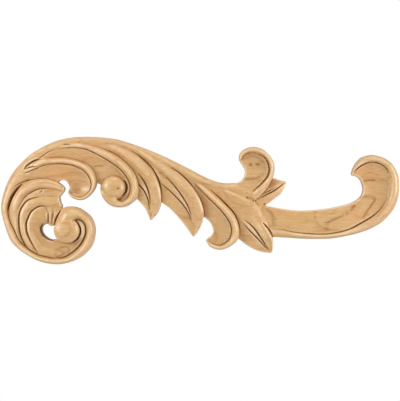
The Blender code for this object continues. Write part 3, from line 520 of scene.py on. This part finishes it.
def lobe_surface(lobe, along, across):
    """The carved surface of a lobe as a grid of points (station, place across, x z height)."""
    rails = lobe["rails"]
    rows = stations_of(rails, lobe.get("pins", [()] * len(rails)), along)
    count = rows.shape[1]
    columns = [rows[0]]
    for band, values in enumerate(lobe["swells"]):
        near, far = rows[band], rows[band + 1]
        width = np.linalg.norm(near[:, :2] - far[:, :2], axis=1).max()
        pieces = max(4, int(round(width / across)))
        swell = swell_along(values, count)
        for t in np.linspace(0, 1, pieces + 1)[1:]:
            column = near + (far - near) * t
            column[:, 2] += 4 * swell * t * (1 - t)
            columns.append(column)
    return np.stack(columns, axis=1)


def only(obj):
    """Select one object alone and make it active."""
    bpy.ops.object.select_all(action="DESELECT")
    obj.select_set(True)
    bpy.context.view_layer.objects.active = obj


def push_back(obj, depth):
    """Extrude a bent sheet through the board and flatten the far side at the given depth."""
    only(obj)
    bpy.ops.object.mode_set(mode="EDIT")
    bpy.ops.mesh.select_all(action="SELECT")
    bpy.ops.mesh.extrude_region_move(TRANSFORM_OT_translate={"value": (0, THROUGH, 0)})
    bpy.ops.transform.resize(value=(1, 0, 1), center_override=(0, depth, 0))
    bpy.ops.mesh.select_all(action="SELECT")
    bpy.ops.mesh.remove_doubles(threshold=WELD)
    bpy.ops.mesh.normals_make_consistent(inside=False)
    bpy.ops.object.mode_set(mode="OBJECT")


def add_lobe(name, lobe, depth, settings):
    """A grid bent onto the rails of one lobe and pushed back through the board."""
    surface = lobe_surface(lobe, settings.station_step, settings.profile_step)
    along, across = surface.shape[:2]
    bpy.ops.object.select_all(action="DESELECT")
    bpy.ops.mesh.primitive_grid_add(x_subdivisions=across - 1, y_subdivisions=along - 1, size=1)
    sheet = bpy.context.object
    sheet.name = name
    flat = surface.reshape(-1, 3)
    places = np.column_stack([flat[:, 0], -flat[:, 2], flat[:, 1]])
    sheet.data.vertices.foreach_set("co", places.ravel())
    sheet.data.update()
    push_back(sheet, depth)
    return sheet


def add_boss(name, boss, depth):
    """A disc domed into a boss and pushed back through the board."""
    x, z, edge = to_metres((*boss["centre"], boss["edge"]))
    radius, _, top = to_metres((boss["radius"], 0, boss["top"]))
    bpy.ops.object.select_all(action="DESELECT")
    bpy.ops.mesh.primitive_grid_add(x_subdivisions=BOSS_SIDES, y_subdivisions=BOSS_RINGS, size=1)
    dome = bpy.context.object
    dome.name = name
    turn = np.linspace(0, 2 * np.pi, BOSS_SIDES + 1)
    lift = np.linspace(0, 0.5 * np.pi, BOSS_RINGS + 1)
    lift, turn = np.meshgrid(lift, turn, indexing="ij")
    r = radius * np.cos(lift)
    height = edge + (top - edge) * (1 - np.cos(lift) ** BOSS_CROWN) ** 0.5
    places = np.stack([x + r * np.cos(turn), -height, z + r * np.sin(turn)], axis=-1)
    dome.data.vertices.foreach_set("co", places.ravel())
    dome.data.update()
    push_back(dome, depth)
    return dome


def apply(obj, name, kind, **values):
    """Add one modifier with its values and apply it."""
    modifier = obj.modifiers.new(name, kind)
    for key, value in values.items():
        setattr(modifier, key, value)
    only(obj)
    bpy.ops.object.modifier_apply(modifier=modifier.name)


def corners_of(mesh):
    """The places of a mesh's points, one row each."""
    places = np.empty(len(mesh.vertices) * 3)
    mesh.vertices.foreach_get("co", places)
    return places.reshape(-1, 3)


def edges_of(mesh):
    """The two points at the ends of each edge, one row each."""
    ends = np.empty(len(mesh.edges) * 2, dtype=int)
    mesh.edges.foreach_get("vertices", ends)
    return ends.reshape(-1, 2)


def swept(obj, rounds, weights):
    """Smooth a mesh for some rounds, each point as far as its weight says."""
    group = obj.vertex_groups.new(name="blended")
    chosen = np.nonzero(weights > BLEND_LEAST)[0]
    for level in range(1, BLEND_LEVELS + 1):
        band = chosen[np.ceil(weights[chosen] * BLEND_LEVELS) == level]
        group.add([int(i) for i in band], level / BLEND_LEVELS, "REPLACE")
    apply(obj, "Blend", "SMOOTH", factor=0.5, iterations=rounds, vertex_group=group.name)
    obj.vertex_groups.clear()


def blend_spots(obj):
    """Sand the spots where one form flows into the next."""
    for centre, radius, rounds in BLENDED:
        places = corners_of(obj.data)
        x, z, _ = to_metres((*centre, 0))
        away = np.hypot(places[:, 0] - x, places[:, 2] - z) / (radius * PLAN)
        swept(obj, rounds, np.clip((1 - away) / BLEND_FADE, 0, 1) * (places[:, 1] < -BLEND_FLOOR * RELIEF))


def cut_lines():
    """Every V cut as its line on the wood, its width and its depth, in metres."""
    for lobe, rail, start, end, width, depth in RAIL_CUTS:
        line, _ = smooth_line(LOBES[lobe]["rails"][rail])
        share = walked(line) / walked(line)[-1]
        yield line[(share >= start) & (share <= end), :2], width * PLAN, depth * RELIEF
    for points, width, depth in FREE_CUTS:
        line, _ = smooth_line([(x, z, 0) for x, z in points])
        yield line[:, :2], width * PLAN, depth * RELIEF


def near_line(plan, allowed, line, reach):
    """The allowed points within reach of a line, how far off each is and beside which share of the line."""
    near = np.all((plan > line.min(axis=0) - reach) & (plan < line.max(axis=0) + reach), axis=1)
    near = np.nonzero(near & allowed)[0]
    away = np.full(len(near), np.inf)
    share = np.zeros(len(near))
    for point, t in zip(line, walked(line) / walked(line)[-1]):
        distance = np.hypot(plan[near, 0] - point[0], plan[near, 1] - point[1])
        closer = distance < away
        away[closer] = distance[closer]
        share[closer] = t
    return near, away, share


def engrave(obj):
    """Press the V cuts into the front of the carving."""
    places = corners_of(obj.data)
    plan = places[:, [0, 2]]
    floor = -CUT_FLOOR * RELIEF
    sunk = np.zeros(len(places))
    for line, width, depth in cut_lines():
        near, away, share = near_line(plan, places[:, 1] < floor, line, 0.5 * width)
        taper = np.sin(np.pi * np.clip(share, 0, 1)) ** CUT_EASE
        reach = 0.5 * width * (CUT_END_WIDTH + (1 - CUT_END_WIDTH) * taper)
        sunk[near] = np.maximum(sunk[near], depth * taper * np.clip(1 - away / reach, 0, 1))
    places[:, 1] = np.minimum(places[:, 1] + sunk, np.maximum(places[:, 1], floor))
    obj.data.vertices.foreach_set("co", places.ravel())
    obj.data.update()


def store(obj, name, values):
    """Store one value for each point of the carved side, and 0 for those of the sawn back."""
    carved = corners_of(obj.data)[:, 1] < -SAWN_MARGIN
    layer = obj.data.attributes.new(name, "FLOAT", "POINT")
    layer.data.foreach_set("value", np.where(carved, values, 0).astype(np.float32))


def mark_grooves(obj):
    """Store where each point lies, from 1 in the deepest cuts over 0 on open wood to -1 on the crests, for
    the painted shade and highlights.
    """
    places = corners_of(obj.data)
    ends = edges_of(obj.data)
    normals = np.empty(len(places) * 3)
    obj.data.vertices.foreach_get("normal", normals)
    normals = normals.reshape(-1, 3)
    degree = np.bincount(ends.ravel(), minlength=len(places))[:, None]
    soft = places.copy()
    for _ in range(GROOVE_ROUNDS):
        total = np.zeros_like(soft)
        for k in range(3):
            total[:, k] = (np.bincount(ends[:, 0], soft[ends[:, 1], k], len(soft))
                           + np.bincount(ends[:, 1], soft[ends[:, 0], k], len(soft)))
        soft = 0.5 * soft + 0.5 * total / np.maximum(degree, 1)
    depth = ((soft - places) * normals).sum(axis=1) / GROOVE_DEPTH
    store(obj, "groove", np.clip(depth, -1, 1))


def mark_figure(obj):
    """Store where the board's dark rings and pin knots come to the surface, from 0 to 1."""
    plan = corners_of(obj.data)[:, [0, 2]]
    dark = np.zeros(len(plan))
    for points, width, strength in FIGURE:
        line, _ = smooth_line([(x, z, 0) for x, z in points], pieces=12)
        reach = 0.5 * width * PLAN
        near, away, _ = near_line(plan, True, line[:, :2], reach)
        dark[near] = np.maximum(dark[near], strength * np.clip((1 - away / reach) / RING_FADE, 0, 1))
    store(obj, "figure", dark)


def node(tree, kind, values=None, links=None):
    """A node with its settings, and links from other sockets to its inputs."""
    made = tree.nodes.new(kind)
    for key, value in (values or {}).items():
        if isinstance(key, str) and hasattr(made, key):
            setattr(made, key, value)
        else:
            made.inputs[key].default_value = value
    for key, socket in (links or {}).items():
        tree.links.new(socket, made.inputs[key])
    return made


def ramp(tree, factor, stops):
    """A colour ramp over the given stops, each a position and a grey value or colour."""
    made = node(tree, "ShaderNodeValToRGB", links={"Fac": factor})
    elements = made.color_ramp.elements
    while len(elements) < len(stops):
        elements.new(0.5)
    for element, (position, value) in zip(elements, stops):
        element.position = position
        element.color = value if isinstance(value, tuple) else (value, value, value, 1)
    return made.outputs["Color"]


def sanded_maple(settings):
    """Hard maple, flat-sawn, carved and sanded but not lacquered: pale, fine-grained, softly bright."""
    wood = bpy.data.materials.new("sanded_maple")
    wood.use_nodes = True
    tree = wood.node_tree
    shader = tree.nodes["Principled BSDF"]
    place = node(tree, "ShaderNodeTexCoord").outputs["Object"]

    # The board's rings wander by a few millimetres over some centimetres
    drift = node(tree, "ShaderNodeTexNoise", {"Scale": 16.0, "Detail": 2.0, "Roughness": 0.45},
                 {"Vector": place})
    centred = node(tree, "ShaderNodeVectorMath", {"operation": "SUBTRACT", 1: (0.5, 0.5, 0.5)},
                   {0: drift.outputs["Color"]})
    bent = node(tree, "ShaderNodeVectorMath", {"operation": "MULTIPLY_ADD", 1: (0.02, 0.016, 0.016)},
                {0: centred.outputs[0], 2: place})

    # Rings lie round a pith behind the board, so the carved slopes cut them into loops
    pith = node(tree, "ShaderNodeMapping", {"Location": (0.0, -0.075, 0.020), "Rotation": (0, 0.03, 0.05),
                                            "Scale": (0.06, 1.0, 0.55)}, {"Vector": bent.outputs[0]})
    radius = node(tree, "ShaderNodeVectorMath", {"operation": "LENGTH"}, {0: pith.outputs[0]})
    years = node(tree, "ShaderNodeMath", {"operation": "DIVIDE", 1: settings.ring_width},
                 {0: radius.outputs["Value"]})
    year = node(tree, "ShaderNodeMath", {"operation": "FRACT"}, {0: years.outputs[0]})
    late = ramp(tree, year.outputs[0], [(0.0, 0.22), (0.05, 0.0), (0.60, 0.05), (0.88, 0.20), (0.95, 0.50),
                                        (1.0, 0.38)])

    # Fibres run along the board, some 17 mm long and 1 mm apart, with finer ones between them
    grain = node(tree, "ShaderNodeMapping", {"Scale": (60.0, 900.0, 900.0)}, {"Vector": bent.outputs[0]})
    fibre = node(tree, "ShaderNodeTexNoise", {"Scale": 1.0, "Detail": 4.0, "Roughness": 0.65},
                 {"Vector": grain.outputs[0]})
    # Sparse dark flecks, 2 to 3 mm long
    fleck_map = node(tree, "ShaderNodeMapping", {"Scale": (240.0, 900.0, 900.0)},
                     {"Vector": bent.outputs[0]})
    fleck = node(tree, "ShaderNodeTexNoise", {"Scale": 1.0, "Detail": 0.0},
                 {"Vector": fleck_map.outputs[0]})
    flecks = ramp(tree, fleck.outputs["Fac"], [(0.78, 0.0), (0.82, 1.0)])
    # Clouds of yellower and redder wood, some 40 mm across and mottled down to 0.6 mm
    cloud = node(tree, "ShaderNodeTexNoise", {"Scale": 26.0, "Detail": 6.0, "Roughness": 0.75},
                 {"Vector": place})

    streak = node(tree, "ShaderNodeMath", {"operation": "MULTIPLY_ADD", 1: 1.3, 2: -0.50},
                  {0: fibre.outputs["Fac"]})
    amount = node(tree, "ShaderNodeMath", {"operation": "MULTIPLY_ADD", "use_clamp": True, 1: 0.75},
                  {0: late, 2: streak.outputs[0]})
    colour = node(tree, "ShaderNodeMix", {"data_type": "RGBA", "A": tuple(settings.early_wood),
                                          "B": tuple(settings.late_wood)}, {"Factor": amount.outputs[0]})
    shade = ramp(tree, cloud.outputs["Fac"], [(0.32, linear("#F3EBCB")), (0.50, linear("#FFFFFF")),
                                               (0.68, linear("#FFECDF"))])
    clouded = node(tree, "ShaderNodeMix", {"data_type": "RGBA", "blend_type": "MULTIPLY", "Factor": 1.0},
                   {"A": colour.outputs["Result"], "B": shade})
    fleck_amount = node(tree, "ShaderNodeMath", {"operation": "MULTIPLY", 1: 0.4}, {0: flecks})
    flecked = node(tree, "ShaderNodeMix", {"data_type": "RGBA", "B": linear("#7E4E22")},
                   {"Factor": fleck_amount.outputs[0], "A": clouded.outputs["Result"]})
    rings = node(tree, "ShaderNodeAttribute", {"attribute_name": "figure"})
    figured = node(tree, "ShaderNodeMix", {"data_type": "RGBA", "B": linear("#784715")},
                   {"Factor": rings.outputs["Fac"], "A": flecked.outputs["Result"]})

    # Painted highlight on the crests, mixed towards pale cream, and painted shade down in the cuts, mixed
    # towards dark brown
    groove = node(tree, "ShaderNodeAttribute", {"attribute_name": "groove"})
    cut = ramp(tree, groove.outputs["Fac"], [(0.15, 0.0), (0.80, 0.55)])
    # Painted highlight: the further a point stands proud, the more it is mixed towards the pale cream
    proud = node(tree, "ShaderNodeMath", {"operation": "MULTIPLY", 1: -1.0}, {0: groove.outputs["Fac"]})
    crest = ramp(tree, proud.outputs[0], [(0.10, 0.0), (0.60, 0.50)])
    pale = node(tree, "ShaderNodeMix", {"data_type": "RGBA", "B": tuple(settings.crest_highlight)},
                {"Factor": crest, "A": figured.outputs["Result"]})
    # Painted shade: the cuts are mixed towards the dark brown
    dark = node(tree, "ShaderNodeMix", {"data_type": "RGBA", "B": tuple(settings.cut_shade)},
                {"Factor": cut, "A": pale.outputs["Result"]})
    tree.links.new(dark.outputs["Result"], shader.inputs["Base Color"])

    # The fibres vary the sheen and raise the surface by 0.04 mm at most
    rough = node(tree, "ShaderNodeMapRange", {"To Min": 0.33, "To Max": 0.44},
                 {"Value": fibre.outputs["Fac"]})
    tree.links.new(rough.outputs[0], shader.inputs["Roughness"])
    bump = node(tree, "ShaderNodeBump", {"Strength": 0.4, "Distance": 0.1 * MM},
                {"Height": fibre.outputs["Fac"]})
    tree.links.new(bump.outputs[0], shader.inputs["Normal"])
    # Fine sanding leaves a soft sheen, except down in the cuts
    shine = node(tree, "ShaderNodeMapRange", {"From Max": 0.5, "To Min": 0.5, "To Max": 0.0},
                 {"Value": cut})
    tree.links.new(shine.outputs[0], shader.inputs["Specular IOR Level"])
    tree.links.new(shine.outputs[0], shader.inputs["Coat Weight"])
    shader.inputs["IOR"].default_value = 1.5
    shader.inputs["Coat Roughness"].default_value = 0.36
    return wood


class ACANTHUS_OT_carving(bpy.types.Operator):
    """Carve the scroll: volute, curls, leaves and stem in one piece of wood"""

    bl_idname = "acanthus.carving"
    bl_label = "Carving"

    def execute(self, context):
        settings = context.scene.acanthus
        blanks = []
        depth = BACK_WASTE
        for name, lobe in LOBES.items():
            blanks.append(add_lobe(name, lobe, depth, settings))
            depth += BACK_WASTE_STEP
        for name, boss in BOSSES.items():
            blanks.append(add_boss(name, boss, depth))
            depth += BACK_WASTE_STEP
        bpy.ops.object.select_all(action="DESELECT")
        for blank in blanks:
            blank.select_set(True)
        context.view_layer.objects.active = blanks[0]
        bpy.ops.object.join()
        carving = context.object
        carving.name = "applique_carving"
        carving.data.name = "applique_carving"
        apply(carving, "Fuse", "REMESH", mode="VOXEL", voxel_size=settings.grit, adaptivity=0.0)
        apply(carving, "Sand", "SMOOTH", factor=0.5, iterations=settings.sanding)
        blend_spots(carving)
        engrave(carving)
        bpy.ops.object.mode_set(mode="EDIT")
        bpy.ops.mesh.select_all(action="SELECT")
        bpy.ops.mesh.bisect(plane_co=(0, 0, 0), plane_no=(0, 1, 0), use_fill=True, clear_outer=True)
        bpy.ops.mesh.select_all(action="SELECT")
        bpy.ops.mesh.quads_convert_to_tris()
        bpy.ops.object.mode_set(mode="OBJECT")
        mark_grooves(carving)
        mark_figure(carving)
        share = settings.faces / len(carving.data.polygons)
        if share < 1:
            apply(carving, "Thin out", "DECIMATE", ratio=share)
        only(carving)
        bpy.ops.object.shade_smooth_by_angle(angle=SHARP_ANGLE)
        carving.data.materials.clear()
        carving.data.materials.append(sanded_maple(settings))
        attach(carving, "root")
        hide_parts(NODE)
        return {"FINISHED"}


def add_area(name, place, target, size, watts):
    """A square soft box that faces its target."""
    bpy.ops.object.light_add(type="AREA", location=place)
    lamp = bpy.context.object
    lamp.name = name
    lamp.data.shape = "SQUARE"
    lamp.data.size = size
    lamp.data.energy = watts
    lamp.rotation_euler = (Vector(target) - Vector(place)).to_track_quat("-Z", "Y").to_euler()


# The camera faces the carving square on. A pixel of the picture is 0.75 mm at the height of the relief.
PICTURE = (400, 401)
PIXEL = 0.75 * MM
LENS = 100.0
SENSOR = 36.0
CARVED_PLANE = 10 * MM
HALF_PIXEL_DROP = 0.5 * PIXEL

# The floor of the studio: its width, and where its middle lies, well below the carving
FLOOR_SIZE = 2.4
FLOOR_PLACE = (0, 0.1, -0.45)

# The soft boxes: place, target, width in metres and power in watts. Low ones at both sides bring out the
# relief, the left one a little higher, and a weak one stands above.
SOFT_BOXES = {
    "right_soft_box": ((0.83, -0.35, 0.12), (0.08, 0, 0), 0.42, 5.5),
    "left_soft_box": ((-0.76, -0.52, 0.22), (-0.08, 0, 0), 0.42, 5.4),
    "top_soft_box": ((0.0, -0.25, 0.85), (0, 0, 0), 0.5, 2),
}

# Light from all round, slightly warm
STUDIO_FILL = (1.0, 0.985, 0.965, 1)
STUDIO_FILL_STRENGTH = 0.44


class ACANTHUS_OT_stage(bpy.types.Operator):
    """Set up the pale floor, the soft boxes and the camera"""

    bl_idname = "acanthus.stage"
    bl_label = "Stage"

    def execute(self, context):
        settings = context.scene.acanthus
        bpy.ops.object.select_all(action="DESELECT")
        bpy.ops.mesh.primitive_plane_add(size=FLOOR_SIZE, location=FLOOR_PLACE)
        floor = context.object
        floor.name = "studio_floor"
        bpy.ops.object.transform_apply(location=True, rotation=True, scale=True)
        paint = bpy.data.materials.new("matt_white_paint")
        paint.use_nodes = True
        face = paint.node_tree.nodes["Principled BSDF"]
        face.inputs["Base Color"].default_value = tuple(settings.floor_colour)
        face.inputs["Roughness"].default_value = 0.8
        floor.data.materials.append(paint)

        for name, values in SOFT_BOXES.items():
            add_area(name, *values)

        world = bpy.data.worlds.new("White studio")
        context.scene.world = world
        world.use_nodes = True
        tree = world.node_tree
        tree.nodes.clear()
        seen = node(tree, "ShaderNodeBackground", {"Color": (1, 1, 1, 1), "Strength": 1.0})
        lighting = node(tree, "ShaderNodeBackground",
                        {"Color": STUDIO_FILL, "Strength": STUDIO_FILL_STRENGTH})
        path = node(tree, "ShaderNodeLightPath")
        mix = node(tree, "ShaderNodeMixShader", None, {0: path.outputs["Is Camera Ray"],
                                                       1: lighting.outputs[0], 2: seen.outputs[0]})
        node(tree, "ShaderNodeOutputWorld", None, {"Surface": mix.outputs[0]})

        distance = PIXEL * max(PICTURE) / SENSOR * LENS
        bpy.ops.object.camera_add(location=(0, -(distance + CARVED_PLANE), -HALF_PIXEL_DROP),
                                  rotation=(np.pi / 2, 0, 0))
        camera = context.object
        camera.name = "Camera"
        camera.data.lens = LENS
        camera.data.sensor_width = SENSOR
        context.scene.camera = camera
        context.scene.view_settings.view_transform = "Standard"
        return {"FINISHED"}


class ACANTHUS_PT_panel(bpy.types.Panel):
    """Sizes and colours, and the steps that build the scene"""

    bl_idname = "ACANTHUS_PT_panel"
    bl_label = "Acanthus applique"
    bl_space_type = "VIEW_3D"
    bl_region_type = "UI"
    bl_category = "Applique"

    def draw(self, context):
        settings = context.scene.acanthus
        for name in AcanthusSettings.__annotations__:
            self.layout.prop(settings, name)
        self.layout.operator(ACANTHUS_OT_carving.bl_idname)
        self.layout.operator(ACANTHUS_OT_stage.bl_idname)


CLASSES = (AcanthusSettings, ACANTHUS_OT_carving, ACANTHUS_OT_stage, ACANTHUS_PT_panel)


def register():
    for cls in CLASSES:
        bpy.utils.register_class(cls)
    bpy.types.Scene.acanthus = bpy.props.PointerProperty(type=AcanthusSettings)


def unregister():
    del bpy.types.Scene.acanthus
    for cls in reversed(CLASSES):
        bpy.utils.unregister_class(cls)


def main():
    register()
    bpy.ops.acanthus.carving()
    bpy.ops.acanthus.stage()


if __name__ == "__main__":
    main()
